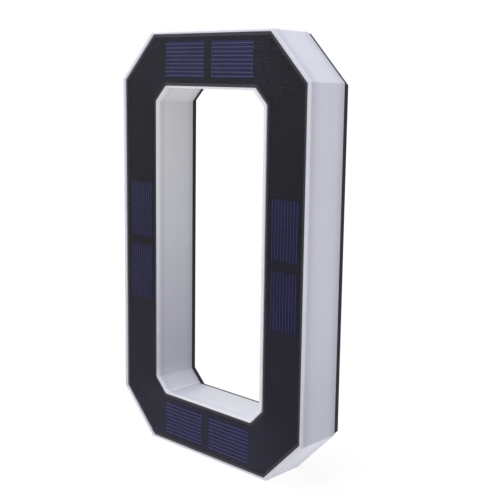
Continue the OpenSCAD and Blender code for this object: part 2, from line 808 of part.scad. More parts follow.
housing();
solar_board();
panel_film();
panel_tape();
lead_grommet();
lying_cell(-1, 1);  // cell_top_left
lying_cell(1, 1);  // cell_top_right
lying_cell(-1, -1);  // cell_bottom_left
lying_cell(1, -1);  // cell_bottom_right
standing_cell(-1, 1);  // cell_left_upper
standing_cell(-1, -1);  // cell_left_lower
standing_cell(1, 1);  // cell_right_upper
standing_cell(1, -1);  // cell_right_lower
rear_cover();
outer_seal();
window_seal();
cover_screws();
reflector(-1);  // reflector_left
reflector(1);  // reflector_right
side_bar(-1);  // light_bar_left
side_bar(1);  // light_bar_right
end_bar(1);  // light_bar_top
end_bar(-1);  // light_bar_bottom
standing_lights(-1);  // lights_left
standing_lights(1);  // lights_right
lying_lights(1);  // lights_top
lying_lights(-1);  // lights_bottom
control_board();
board_screws();
driver_chips();
charging_coil();
wire_sockets();
power_switch();
switch_plunger();
power_button();
button_ring();
battery();
battery_pad();
battery_tabs();
panel_wires();
battery_wires();
light_feed_wires();
light_link_wires();
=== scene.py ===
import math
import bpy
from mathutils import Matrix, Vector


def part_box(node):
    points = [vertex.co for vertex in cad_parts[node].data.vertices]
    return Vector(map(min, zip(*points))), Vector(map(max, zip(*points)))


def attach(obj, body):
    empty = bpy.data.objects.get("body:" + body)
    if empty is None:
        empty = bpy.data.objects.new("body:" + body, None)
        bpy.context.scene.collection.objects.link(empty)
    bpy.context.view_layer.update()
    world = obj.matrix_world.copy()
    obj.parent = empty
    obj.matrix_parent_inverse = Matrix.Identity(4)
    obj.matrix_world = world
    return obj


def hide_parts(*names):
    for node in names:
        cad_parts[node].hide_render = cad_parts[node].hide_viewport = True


bl_info = {
    "name": "Solar House Number Sign",
    "version": (1, 0, 0),
    "blender": (4, 5, 0),
    "location": "3D View > Sidebar > House Number",
    "description": "Finishes a solar-lit house number in the shape of a zero round its packed solids",
    "category": "Object",
}

import bmesh
import bpy
from bpy.props import FloatProperty, FloatVectorProperty, IntProperty, PointerProperty
from mathutils import Matrix, Vector

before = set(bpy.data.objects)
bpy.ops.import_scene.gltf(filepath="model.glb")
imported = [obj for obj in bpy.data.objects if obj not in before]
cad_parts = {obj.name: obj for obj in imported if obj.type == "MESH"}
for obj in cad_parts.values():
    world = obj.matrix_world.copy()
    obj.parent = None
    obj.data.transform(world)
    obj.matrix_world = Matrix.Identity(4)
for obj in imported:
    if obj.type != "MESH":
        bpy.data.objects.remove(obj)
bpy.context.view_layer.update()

MM = 0.001
ROOT2 = math.sqrt(2)

# Points closer than MERGE are one, folds flatter than FLAT vanish, and folds sharper than SHARP stay crisp
MERGE = 0.002 * MM
FLAT = math.radians(0.8)
SHARP = math.radians(35)

# Planes along the depth, taken from the solids
FRONT_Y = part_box("housing")[0].y
WALL_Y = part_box("housing")[1].y
POCKET_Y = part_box("lead_grommet")[0].y
WEB_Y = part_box("light_bar_left")[0].y
CELL_FRONT_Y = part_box("cell_top_left")[0].y
MID_Z = (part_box("housing")[0].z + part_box("housing")[1].z) / 2

# Painted light and shade on the opal walls, as shares of their brightness by depth behind the front in mm:
# painted shade round the outer rim's edge, over the web and panel behind the wall, and towards the dark
# cover, and painted light on the window walls, most near the front and on the window's bottom face
OUTER_PAINTED_SHADE = (
    (0.0, 0.93), (0.1, 0.85), (0.5, 0.84), (1.0, 0.84), (1.6, 0.82), (2.2, 0.85), (2.8, 0.88), (3.6, 0.92),
    (4.6, 0.95), (6.0, 0.975), (9.0, 1.0), (16.0, 0.985), (18.0, 0.955), (19.4, 0.9), (20.4, 0.84),
    (21.2, 0.79), (22.2, 0.74),
)
WINDOW_PAINTED_LIGHT_SHADE = (
    (0.0, 1.12), (0.7, 1.17), (1.3, 1.07), (1.9, 1.01), (2.6, 1.01), (3.6, 1.06), (5.0, 1.12),
    (16.0, 1.14), (19.0, 1.1), (20.0, 1.05), (20.8, 0.97), (21.5, 0.89), (22.2, 0.82),
)

# The same by height above the floor in mm, as shares of grey and of blue: painted shade that darkens the
# outer walls towards the floor, painted shade over the window's left wall, darkest where the control board
# lies behind it, and a painted highlight along the crease below it, with a little painted shade beside it
OUTER_PAINTED_HEIGHT_SHADE = (
    (22.0, 0.86, 0.88), (31.0, 0.87, 0.89), (42.0, 0.9, 0.92), (60.0, 0.945, 0.955), (75.0, 0.965, 0.97),
    (95.0, 1.0, 1.0),
)
WINDOW_PAINTED_HEIGHT_SHADE = (
    (26.5, 0.88, 0.87), (29.5, 0.81, 0.79), (31.8, 0.77, 0.75), (32.8, 0.7, 0.71), (39.0, 0.6, 0.615),
    (48.0, 0.595, 0.605), (62.0, 0.635, 0.635), (85.0, 0.7, 0.685), (112.0, 0.775, 0.74), (140.0, 0.81, 0.75),
    (168.0, 0.815, 0.745),
)
WINDOW_PAINTED_CREASE_LIGHT = (
    (25.3, 0.9, 0.92), (25.74, 0.91, 0.92), (25.81, 1.18, 1.17), (26.2, 1.14, 1.14), (26.9, 1.0, 1.0),
)

# Where the painted shares by height and the painted shade at the cover come in, as (axis, from, to) in mm:
# above the outer walls' lowest stretch, and over the left part of the window
OUTER_REACH = ("Z", 21.2, 22.2)
WINDOW_REACH = ("X", -17, -28)

# Depth behind the front at which the painted shares stop outside these reaches, so that no painted shade
# of the cover shows there
PLAIN_DEPTH = 16 * MM

# The solder mask carries a painted sheen round the end cells, where its lift comes in over MASK_ACROSS from
# the sides and over MASK_ALONG towards each end, up to MASK_END times, and a painted reflection down the
# panel, where it comes in over MASK_LOW, up to MASK_FOOT times
MASK_ACROSS = (55 * MM, 30 * MM)
MASK_ALONG = (70 * MM, 75 * MM)
MASK_END = 1.9
MASK_LOW = (110 * MM, 50 * MM)
MASK_FOOT = 2.25

# The camera stands where the photograph was taken from: its place in metres, where it looks, its upward
# side, its focal length for a sensor 36 mm wide, and the small shift that centres the sign
CAMERA_PLACE = (0.33105, -0.31968, 0.17978)
CAMERA_FORWARD = (-0.6917, 0.7013, -0.1723)
CAMERA_UP = (-0.1312, 0.1127, 0.9849)
CAMERA_LENS = 71.34
CAMERA_SENSOR = 36.0
CAMERA_SHIFT = (-0.001, 0.001)
CAMERA_NEAR = 0.01
CAMERA_FAR = 20.0

# Square softboxes aimed at the sign's middle: name, place and side in metres, power in watts, and tint
LAMPS = (
    ("softbox_front", (-0.5, -1.0, 0.2), 0.7, 1.25, (1.0, 1.0, 1.0)),
    ("softbox_left", (-0.9, -0.05, 0.6), 0.6, 3.2, (1.0, 1.0, 1.0)),
    ("softbox_top", (0.0, -0.18, 0.93), 0.7, 5.2, (0.92, 0.94, 1.0)),
    ("softbox_right", (0.6, -0.2, 0.3), 0.3, 0.5, (1.0, 1.0, 1.0)),
)

# The paper floor: half its side in metres, its glow where it is seen, the least share of glow that lights
# the sign from below, how much of the glow is left close to the sign, and the distances from which and to
# which it comes back, then the strength of the room's even light
FLOOR_HALF = 3.0
FLOOR_GLOW = 1.08
FLOOR_BOUNCE = 0.3
FLOOR_SHADE = 0.82
FLOOR_NEAR = 0.15
FLOOR_FAR = 0.6
ROOM_LIGHT = 0.28


def length(name, text, default):
    """A length property in metres that stays above zero."""
    return FloatProperty(name=name, description=text, default=default, min=0.0, unit="LENGTH", precision=5)


def srgb(code):
    """The linear colour, with alpha, of an sRGB hex value such as '#d7d7e2'."""
    parts = [int(code[i : i + 2], 16) / 255 for i in (1, 3, 5)]
    linear = [c / 12.92 if c <= 0.04045 else ((c + 0.055) / 1.055) ** 2.4 for c in parts]
    return (*linear, 1.0)


def colour(name, text, code):
    """A colour property whose default is an sRGB hex value."""
    return FloatVectorProperty(
        name=name, description=text, default=srgb(code)[:3], size=3, min=0.0, max=1.0, subtype="COLOR"
    )


class HouseNumberSizes(bpy.types.PropertyGroup):
    sign_width: length("Width", "Width over the housing's front rim", 0.123)
    sign_height: length("Height", "Height over the housing's front rim", 0.2)
    window_width: length("Window width", "Width of the open window at the front", 0.069)
    window_height: length("Window height", "Height of the open window at the front", 0.1485)
    corner_cut: length("Corner cut", "Leg of the cut at each outer corner", 0.0218)
    window_cut: length("Window cut", "Leg of the cut at each window corner", 0.0066)
    corner_round: length("Corner rounding", "Radius of the upright outer edges", 0.0007)
    window_round: length("Window rounding", "Radius of the upright window edges", 0.0009)
    rim_round: length("Rim rounding", "Radius round the outer front rim", 0.0004)
    window_rim_round: length("Window rim rounding", "Radius round the window's front rim", 0.0007)
    edge_round: length("Edge rounding", "Radius of the small moulded edges", 0.0002)
    wall: length("Wall", "Thickness of the outer walls at their rear edge", 0.002)
    draft: length("Draft", "How far each outer wall leans in by its rear edge", 0.0006)
    window_draft: length("Window draft", "How far each window wall leans back by its rear edge", 0.0003)
    margin_side: length("Side margin", "White rim at each side of the panel", 0.0022)
    margin_end: length("End margin", "White rim at the top and bottom of the panel", 0.0012)
    margin_corner: length("Corner margin", "White rim along the cut corners", 0.00195)
    panel_gap: length("Panel gap", "Clearance round the panel in its pocket", 0.0002)
    film_border: length("Film border", "Bare board left round the clear film", 0.0013)
    finger_pitch: length("Finger pitch", "Distance between a cell's finger lines", 0.0018)
    finger_width: length("Finger width", "Width of a printed finger line", 0.00034)
    finger_height: length("Finger height", "Height of a printed finger line", 0.00002)
    finger_first: length("First finger", "Distance of the first line from the cell's edge", 0.00065)
    finger_count: IntProperty(name="Fingers", description="Lines on each cell", default=9, min=1, max=40)
    boss_width: length("Boss", "Outer diameter of a screw boss", 0.0056)
    pilot_width: length("Pilot hole", "Diameter of the hole in a boss", 0.0021)
    head_width: length("Screw head", "Diameter of a cover screw's head", 0.0046)
    head_height: length("Head height", "Height of a cover screw's head", 0.0013)
    thread_width: length("Thread", "Diameter over a cover screw's thread", 0.0025)
    cross_width: length("Cross recess", "Width of the arms of the cross recess", 0.0007)


class HouseNumberColours(bpy.types.PropertyGroup):
    milky: colour("Milky housing", "Opal plastic over the hollow", "#e7e7f1")
    board: colour("Board", "Black glass fibre board", "#181721")
    # The board edge is lighter than the board, partly as bare glass fibre and partly as a painted highlight
    bare: colour("Board edge", "Bare glass fibre along the panel's edges, beside the film", "#211f28")
    film: colour("Film", "Tint of the clear film", "#100d20")
    # End and side cells are one silicon and their fingers one paste: a painted sheen on the end cells,
    # painted shade on the side cells
    cell: colour("End cells", "Dark blue silicon of the cells in the top and bottom limbs", "#323163")
    side_painted_shade_cell: colour("Side cells", "Darker blue silicon of the cells in the side limbs", "#151348")
    finger: colour("End fingers", "Printed silver lines on the end cells", "#62628a")
    side_painted_shade_finger: colour("Side fingers", "Printed silver lines on the side cells", "#3d3e64")
    cover: colour("Cover", "Black moulded plastic", "#0c0c1d")


def new_material(name):
    """A material, its tree, its surface shader with the output in place, and its object coordinates."""
    material = bpy.data.materials.new(name)
    material.use_nodes = True
    tree = material.node_tree
    tree.nodes.clear()
    shader = tree.nodes.new("ShaderNodeBsdfPrincipled")
    output = tree.nodes.new("ShaderNodeOutputMaterial")
    tree.links.new(shader.outputs[0], output.inputs["Surface"])
    place = tree.nodes.new("ShaderNodeTexCoord").outputs["Object"]
    return material, tree, shader, place


def add_node(tree, kind, settings=None, inputs=None, links=None, stops=()):
    """Adds a node with its attributes, input values, links from other nodes' outputs and ramp stops."""
    node = tree.nodes.new(kind)
    for name, value in (settings or {}).items():
        setattr(node, name, value)
    for name, value in (inputs or {}).items():
        node.inputs[name].default_value = value
    for name, source in (links or {}).items():
        tree.links.new(source, node.inputs[name])
    if stops:
        elements = node.color_ramp.elements
        elements.remove(elements[-1])
        elements[0].position, elements[0].color = stops[0]
        for position, value in stops[1:]:
            elements.new(position).color = value
    return node


def finish_shader(tree, shader, tone, gloss, relief=None, **values):
    """Links a colour output, a gloss node and a bump node to the shader, and sets its other sockets, whose
    names are written here with underscores for spaces."""
    tree.links.new(tone, shader.inputs["Base Color"])
    tree.links.new(gloss.outputs["Result"], shader.inputs["Roughness"])
    if relief is not None:
        tree.links.new(relief.outputs["Normal"], shader.inputs["Normal"])
    for name, value in values.items():
        shader.inputs[name.replace("_", " ")].default_value = value


def shade(value, factor):
    """A linear colour made darker or lighter, with alpha."""
    return (*[min(1.0, c * factor) for c in value[:3]], 1.0)


def moulded(name, base, grain_mm, depth_mm, rough, spread=0.06, ior=1.53, mottle=0.05):
    """A moulded, printed or coated surface: a fine grain in bump and gloss, and slight changes in colour.

    A real mould's or coating's grain is 0.05 to 0.2 mm, under half of what one pixel shows, so each grain_mm
    is drawn a few times coarser.
    """
    material, tree, shader, place = new_material(name)
    broad = add_node(
        tree, "ShaderNodeTexNoise", inputs={"Scale": 1 / (18 * MM), "Detail": 3.0}, links={"Vector": place}
    )
    grain = add_node(
        tree, "ShaderNodeTexNoise", inputs={"Scale": 1 / (grain_mm * MM), "Detail": 2.0},
        links={"Vector": place},
    )
    tone = add_node(
        tree, "ShaderNodeValToRGB", links={"Fac": broad.outputs["Fac"]},
        stops=[(0.3, shade(base, 1 - mottle)), (0.7, shade(base, 1 + mottle))],
    )
    gloss = add_node(
        tree, "ShaderNodeMapRange",
        inputs={"From Min": 0.25, "From Max": 0.75, "To Min": rough - spread, "To Max": rough + spread},
        links={"Value": grain.outputs["Fac"]},
    )
    relief = add_node(
        tree, "ShaderNodeBump", inputs={"Strength": 0.5, "Distance": depth_mm * MM},
        links={"Height": grain.outputs["Fac"]},
    )
    finish_shader(tree, shader, tone.outputs["Color"], gloss, relief, IOR=ior)
    return material


def opal_plastic(name, base, depths, height_ramps, fade):
    """Opal polystyrene from a polished mould: a satin face that light enters, so its edges glow softly, with
    painted shade where solid parts lie close behind the wall and painted light and shade by depth and height.

    The painted shares by height and the painted shade at the cover come in over fade, a stretch of one axis.
    The slight orange peel of a moulded wall is 1.2 mm wide, as on the real one.
    """
    material, tree, shader, place = new_material(name)
    split = add_node(tree, "ShaderNodeSeparateXYZ", links={"Vector": place})
    axis, fade_from, fade_to = fade
    reach = add_node(
        tree, "ShaderNodeMapRange", inputs={"From Min": fade_from * MM, "From Max": fade_to * MM},
        links={"Value": split.outputs[axis]},
    )
    limit = add_node(
        tree, "ShaderNodeMapRange", inputs={"To Min": PLAIN_DEPTH / (WALL_Y - FRONT_Y)},
        links={"Value": reach.outputs[0]},
    )
    depth = add_node(
        tree, "ShaderNodeMapRange", inputs={"From Min": FRONT_Y, "From Max": WALL_Y},
        links={"Value": split.outputs["Y"]},
    )
    shallow = add_node(
        tree, "ShaderNodeMath", settings={"operation": "MINIMUM"},
        links={0: depth.outputs[0], 1: limit.outputs[0]},
    )
    # Painted light and shade by depth behind the front
    tone = add_node(
        tree, "ShaderNodeValToRGB", links={"Fac": shallow.outputs[0]},
        stops=[(depth_mm * MM / (WALL_Y - FRONT_Y), shade(base, share)) for depth_mm, share in depths],
    )
    cloud = add_node(
        tree, "ShaderNodeTexNoise", inputs={"Scale": 1 / (30 * MM), "Detail": 2.0}, links={"Vector": place}
    )
    soft = add_node(
        tree, "ShaderNodeMapRange", inputs={"From Min": 0.3, "From Max": 0.7, "To Min": 0.97, "To Max": 1.0},
        links={"Value": cloud.outputs["Fac"]},
    )
    clouded = add_node(
        tree, "ShaderNodeVectorMath", settings={"operation": "SCALE"},
        links={0: tone.outputs["Color"], "Scale": soft.outputs["Result"]},
    )
    mixed = clouded.outputs["Vector"]
    # Painted shade, and the crease's painted highlight, by height
    for heights in height_ramps:
        lowest, highest = heights[0][0], heights[-1][0]
        height = add_node(
            tree, "ShaderNodeMapRange", inputs={"From Min": lowest * MM, "From Max": highest * MM},
            links={"Value": split.outputs["Z"]},
        )
        dim = add_node(
            tree, "ShaderNodeValToRGB", links={"Fac": height.outputs["Result"]},
            stops=[((z - lowest) / (highest - lowest), (grey, grey, blue, 1.0)) for z, grey, blue in heights],
        )
        dim.color_ramp.interpolation = "EASE"
        mixed = add_node(
            tree, "ShaderNodeMix", settings={"data_type": "RGBA", "blend_type": "MULTIPLY"},
            links={"Factor": reach.outputs["Result"], 6: mixed, 7: dim.outputs["Color"]},
        ).outputs[2]
    peel = add_node(
        tree, "ShaderNodeTexNoise", inputs={"Scale": 1 / (1.2 * MM), "Detail": 2.0}, links={"Vector": place}
    )
    relief = add_node(
        tree, "ShaderNodeBump", inputs={"Strength": 0.2, "Distance": 0.008 * MM},
        links={"Height": peel.outputs["Fac"]},
    )
    gloss = add_node(
        tree, "ShaderNodeMapRange",
        inputs={"From Min": 0.3, "From Max": 0.7, "To Min": 0.38, "To Max": 0.46},
        links={"Value": peel.outputs["Fac"]},
    )
    finish_shader(
        tree,
        shader,
        mixed,
        gloss,
        relief,
        IOR=1.59,
        Subsurface_Weight=0.8,
        Subsurface_Radius=(1.0, 1.0, 1.0),
        Subsurface_Scale=1.6 * MM,
    )
    return material


def solder_mask(base):
    """Black solder mask cured on glass fibre: dark, even and half matt, with a painted sheen round the end
    cells and a painted reflection towards the panel's lower end."""
    material = moulded("black_solder_mask", base, 0.6, 0.001, 0.42, 0.05, 1.27, 0.1)
    tree = material.node_tree
    shader = next(n for n in tree.nodes if n.type == "BSDF_PRINCIPLED")
    tone = next(n for n in tree.nodes if n.type == "VALTORGB")
    place = add_node(tree, "ShaderNodeTexCoord").outputs["Object"]
    centred = add_node(
        tree, "ShaderNodeMapping", inputs={"Location": (0.0, 0.0, -MID_Z)}, links={"Vector": place}
    )
    mirrored = add_node(
        tree, "ShaderNodeVectorMath", settings={"operation": "ABSOLUTE"}, links={0: centred.outputs["Vector"]}
    )
    split = add_node(tree, "ShaderNodeSeparateXYZ", links={"Vector": mirrored.outputs["Vector"]})
    # Painted sheen round the end cells
    across = add_node(
        tree, "ShaderNodeMapRange", inputs={"From Min": MASK_ACROSS[0], "From Max": MASK_ACROSS[1]},
        links={"Value": split.outputs["X"]},
    )
    along = add_node(
        tree, "ShaderNodeMapRange",
        inputs={"From Min": MASK_ALONG[0], "From Max": MASK_ALONG[1], "To Min": 1.0, "To Max": MASK_END},
        links={"Value": split.outputs["Z"]},
    )
    lift = add_node(
        tree, "ShaderNodeMapRange", inputs={"To Min": 1.0},
        links={"Value": across.outputs["Result"], "To Max": along.outputs["Result"]},
    )
    # Painted reflection, lighter towards the panel's lower end
    upright = add_node(tree, "ShaderNodeSeparateXYZ", links={"Vector": place})
    low = add_node(
        tree, "ShaderNodeMapRange",
        inputs={"From Min": MASK_LOW[0], "From Max": MASK_LOW[1], "To Min": 1.0, "To Max": MASK_FOOT},
        links={"Value": upright.outputs["Z"]},
    )
    both = add_node(
        tree, "ShaderNodeMath", settings={"operation": "MULTIPLY"},
        links={0: lift.outputs["Result"], 1: low.outputs[0]},
    )
    lighter = add_node(
        tree, "ShaderNodeVectorMath", settings={"operation": "SCALE"},
        links={0: tone.outputs["Color"], "Scale": both.outputs[0]},
    )
    tree.links.new(lighter.outputs["Vector"], shader.inputs["Base Color"])
    return material


def clear_film():
    """PET film laminated over a tinted bond layer: it darkens the board a little towards blue and gives the
    whole front one satin face."""
    colours = bpy.context.scene.house_number_colours
    material = moulded("laminated_pet_film", (*colours.film, 1.0), 0.8, 0.0006, 0.36, 0.04, 1.3, 0.08)
    shader = next(n for n in material.node_tree.nodes if n.type == "BSDF_PRINCIPLED")
    shader.inputs["Alpha"].default_value = 0.16
    return material


def silicon(name, blue):
    """Monocrystalline silicon with a vapour-grown blue coating: dark, smooth, and of a slightly different
    blue from place to place. Its etched grain is far finer than half a millimetre, and drawn that coarse."""
    material, tree, shader, place = new_material(name)
    cloud = add_node(
        tree, "ShaderNodeTexNoise", inputs={"Scale": 1 / (9 * MM), "Detail": 4.0}, links={"Vector": place}
    )
    tone = add_node(
        tree, "ShaderNodeValToRGB", links={"Fac": cloud.outputs["Fac"]},
        stops=[(0.3, shade(blue, 0.86)), (0.7, shade(blue, 1.14))],
    )
    grain = add_node(tree, "ShaderNodeTexNoise", inputs={"Scale": 1 / (0.5 * MM)}, links={"Vector": place})
    gloss = add_node(
        tree, "ShaderNodeMapRange", inputs={"To Min": 0.3, "To Max": 0.42},
        links={"Value": grain.outputs["Fac"]},
    )
    finish_shader(tree, shader, tone.outputs["Color"], gloss, IOR=1.29)
    return material


def metal(name, code, rough, lay_mm):
    """Bare metal with the fine lay that turning or rolling leaves, which draws its shine out to one side."""
    material, tree, shader, place = new_material(name)
    stretch = add_node(tree, "ShaderNodeMapping", inputs={"Scale": (1.0, 1.0, 0.15)}, links={"Vector": place})
    lay = add_node(
        tree, "ShaderNodeTexNoise", inputs={"Scale": 1 / (lay_mm * MM), "Detail": 3.0},
        links={"Vector": stretch.outputs["Vector"]},
    )
    tone = add_node(
        tree, "ShaderNodeValToRGB", links={"Fac": lay.outputs["Fac"]},
        stops=[(0.3, shade(srgb(code), 0.88)), (0.7, srgb(code))],
    )
    gloss = add_node(
        tree, "ShaderNodeMapRange", inputs={"To Min": rough - 0.06, "To Max": rough + 0.08},
        links={"Value": lay.outputs["Fac"]},
    )
    finish_shader(tree, shader, tone.outputs["Color"], gloss, Metallic=1.0)
    return material


def link(name, data):
    """Links a mesh, a lamp or a camera as a new object at the origin."""
    item = bpy.data.objects.new(name, data)
    bpy.context.scene.collection.objects.link(item)
    return item


def dress(node, material):
    """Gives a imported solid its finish."""
    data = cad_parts[node].data
    data.materials.clear()
    data.materials.append(material)


def eight_corners(width, height, cut, side=0.0, end=0.0, corner=0.0):
    """The corners (x, z) of a cut rectangle about its middle, inset at its sides, ends and cut corners."""
    a = width / 2 - side
    b = height / 2 - end
    k = cut - side - end + corner * ROOT2
    right = [(a - k, -b), (a, -b + k), (a, b - k), (a - k, b)]
    return right + [(-x, z) for x, z in right[::-1]]


def rounded(corners, radius, steps=4):
    """A closed outline with each corner replaced by an arc of the same number of steps."""
    points = []
    count = len(corners)
    for i, corner in enumerate(corners):
        here = Vector(corner)
        back = (Vector(corners[i - 1]) - here).normalized()
        ahead = (Vector(corners[(i + 1) % count]) - here).normalized()
        half = back.angle(ahead) / 2
        centre = here + (back + ahead).normalized() * radius / math.sin(half)
        reach = radius / math.tan(half)
        first = here + back * reach - centre
        last = here + ahead * reach - centre
        sweep = first.angle(last)
        for k in range(steps + 1):
            share = k / steps
            turned = first * math.sin((1 - share) * sweep) + last * math.sin(share * sweep)
            points.append(centre + turned / math.sin(sweep))
    return points


def closed_mesh(name, shape):
    """A closed shape as a mesh whose faces point outwards."""
    bmesh.ops.recalc_face_normals(shape, faces=shape.faces)
    mesh = bpy.data.meshes.new(name)
    shape.to_mesh(mesh)
    shape.free()
    return mesh


def swept_ring(name, stations, material):
    """A closed ring through outlines of equal point counts, each given as (outline, depth)."""
    shape = bmesh.new()
    loops = [[shape.verts.new((p.x, y, p.y + MID_Z)) for p in outline] for outline, y in stations]
    for here, after in zip(loops, loops[1:] + loops[:1]):
        for i in range(len(here)):
            j = (i + 1) % len(here)
            shape.faces.new((here[i], here[j], after[j], after[i]))
    mesh = closed_mesh(name, shape)
    mesh.materials.append(material)
    return keep(name, mesh)


def keep(name, mesh, ease=0.0, segments=2):
    """Links a mesh as an object at the origin, smooth but for its sharp edges, or with these eased."""
    piece = link(name, mesh)
    mesh.shade_smooth()
    mesh.set_sharp_from_angle(angle=SHARP)
    if ease:
        bevel = piece.modifiers.new("eased edges", "BEVEL")
        bevel.width = ease
        bevel.segments = segments
        bevel.limit_method = "ANGLE"
        bevel.angle_limit = SHARP
    weigh = piece.modifiers.new("flat faces", "WEIGHTED_NORMAL")
    weigh.keep_sharp = not ease
    return piece


def eased_copy(node, name, material, width, segments=2):
    """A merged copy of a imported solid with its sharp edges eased, as a mould leaves them."""
    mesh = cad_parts[node].data.copy()
    shape = bmesh.new()
    shape.from_mesh(mesh)
    bmesh.ops.remove_doubles(shape, verts=shape.verts, dist=MERGE)
    bmesh.ops.dissolve_limit(
        shape, angle_limit=FLAT, use_dissolve_boundaries=False, verts=shape.verts, edges=shape.edges
    )
    shape.to_mesh(mesh)
    shape.free()
    mesh.name = name
    mesh.materials.clear()
    mesh.materials.append(material)
    return keep(name, mesh, width, segments)


def new_tree(name, inputs):
    """A Geometry Nodes tree with a geometry input and output and the named number inputs."""
    tree = bpy.data.node_groups.new(name, "GeometryNodeTree")
    tree.interface.new_socket("Geometry", in_out="INPUT", socket_type="NodeSocketGeometry")
    for label, kind in inputs:
        tree.interface.new_socket(label, in_out="INPUT", socket_type="NodeSocket" + kind)
    tree.interface.new_socket("Geometry", in_out="OUTPUT", socket_type="NodeSocketGeometry")
    return tree, add_node(tree, "NodeGroupInput").outputs


def end_tree(tree, instances, material):
    """Ends a tree: its instances are made real, painted and given out."""
    whole = add_node(tree, "GeometryNodeRealizeInstances", links={"Geometry": instances})
    painted = add_node(
        tree, "GeometryNodeSetMaterial", links={"Geometry": whole.outputs["Geometry"], "Material": material}
    )
    add_node(tree, "NodeGroupOutput", links={"Geometry": painted.outputs["Geometry"]})


def grow(name, points, tree, values):
    """Runs a tree on a set of points and returns its result as one plain mesh."""
    seed = bpy.data.meshes.new(name)
    seed.from_pydata([tuple(p) for p in points], [], [])
    carrier = link(name, seed)
    modifier = carrier.modifiers.new(name, "NODES")
    modifier.node_group = tree
    for item in tree.interface.items_tree:
        if item.item_type == "SOCKET" and item.in_out == "INPUT" and item.name in values:
            modifier[item.identifier] = values[item.name]
    bpy.context.view_layer.update()
    shown = carrier.evaluated_get(bpy.context.evaluated_depsgraph_get())
    mesh = bpy.data.meshes.new_from_object(shown)
    carrier.modifiers.clear()
    bpy.data.objects.remove(carrier)
    return mesh


def finger_tree():
    """Rows of thin bars across each point, stepped along Z, then turned about Y."""
    tree, given = new_tree(
        "finger lines",
        [("Count", "Int"), ("Pitch", "Float"), ("Bar", "Vector"), ("Start", "Vector"), ("Turn", "Vector"),
         ("Material", "Material")],
    )
    step = add_node(tree, "ShaderNodeCombineXYZ", links={"Z": given["Pitch"]})
    line = add_node(
        tree, "GeometryNodeMeshLine",
        links={"Count": given["Count"], "Start Location": given["Start"], "Offset": step.outputs["Vector"]},
    )
    bar = add_node(tree, "GeometryNodeMeshCube", links={"Size": given["Bar"]})
    rows = add_node(
        tree, "GeometryNodeInstanceOnPoints",
        links={"Points": line.outputs["Mesh"], "Instance": bar.outputs["Mesh"]},
    )
    field = add_node(tree, "GeometryNodeRealizeInstances", links={"Geometry": rows.outputs["Instances"]})
    cells = add_node(
        tree, "GeometryNodeInstanceOnPoints",
        links={"Points": given["Geometry"], "Instance": field.outputs["Geometry"], "Rotation": given["Turn"]},
    )
    end_tree(tree, cells.outputs["Instances"], given["Material"])
    return tree


def copies_tree():
    """One made piece set at each point."""
    tree, given = new_tree("copies", [("Piece", "Object"), ("Material", "Material")])
    source = add_node(tree, "GeometryNodeObjectInfo", links={"Object": given["Piece"]})
    copies = add_node(
        tree, "GeometryNodeInstanceOnPoints",
        links={"Points": given["Geometry"], "Instance": source.outputs["Geometry"]},
    )
    end_tree(tree, copies.outputs["Instances"], given["Material"])
    return tree


def turned(name, profile, sides=32):
    """A closed solid turned about Y from a profile of (radius, depth), with its ends at radius zero."""
    shape = bmesh.new()
    rings = []
    for radius, y in profile:
        angles = [2 * math.pi * k / sides for k in range(sides if radius else 1)]
        rings.append([shape.verts.new((radius * math.cos(a), y, radius * math.sin(a))) for a in angles])
    for here, after in zip(rings, rings[1:]):
        for k in range(sides):
            m = (k + 1) % sides
            corners = [here[k % len(here)], here[m % len(here)], after[m % len(after)], after[k % len(after)]]
            unique = list(dict.fromkeys(corners))
            if len(unique) > 2:
                shape.faces.new(unique)
    return closed_mesh(name, shape)


def screw_places():
    """Axes (x, z) of the eight cover screws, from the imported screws' own meshes."""
    loose = bmesh.new()
    loose.from_mesh(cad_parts["cover_screws"].data)
    bmesh.ops.remove_doubles(loose, verts=loose.verts, dist=MERGE)
    left = set(loose.verts)
    places = []
    while left:
        group, stack = [], [left.pop()]
        while stack:
            vert = stack.pop()
            group.append(vert.co.copy())
            for edge in vert.link_edges:
                other = edge.other_vert(vert)
                if other in left:
                    left.remove(other)
                    stack.append(other)
        xs, zs = [c.x for c in group], [c.z for c in group]
        places.append(((min(xs) + max(xs)) / 2, (min(zs) + max(zs)) / 2))
    loose.free()
    return sorted(places)


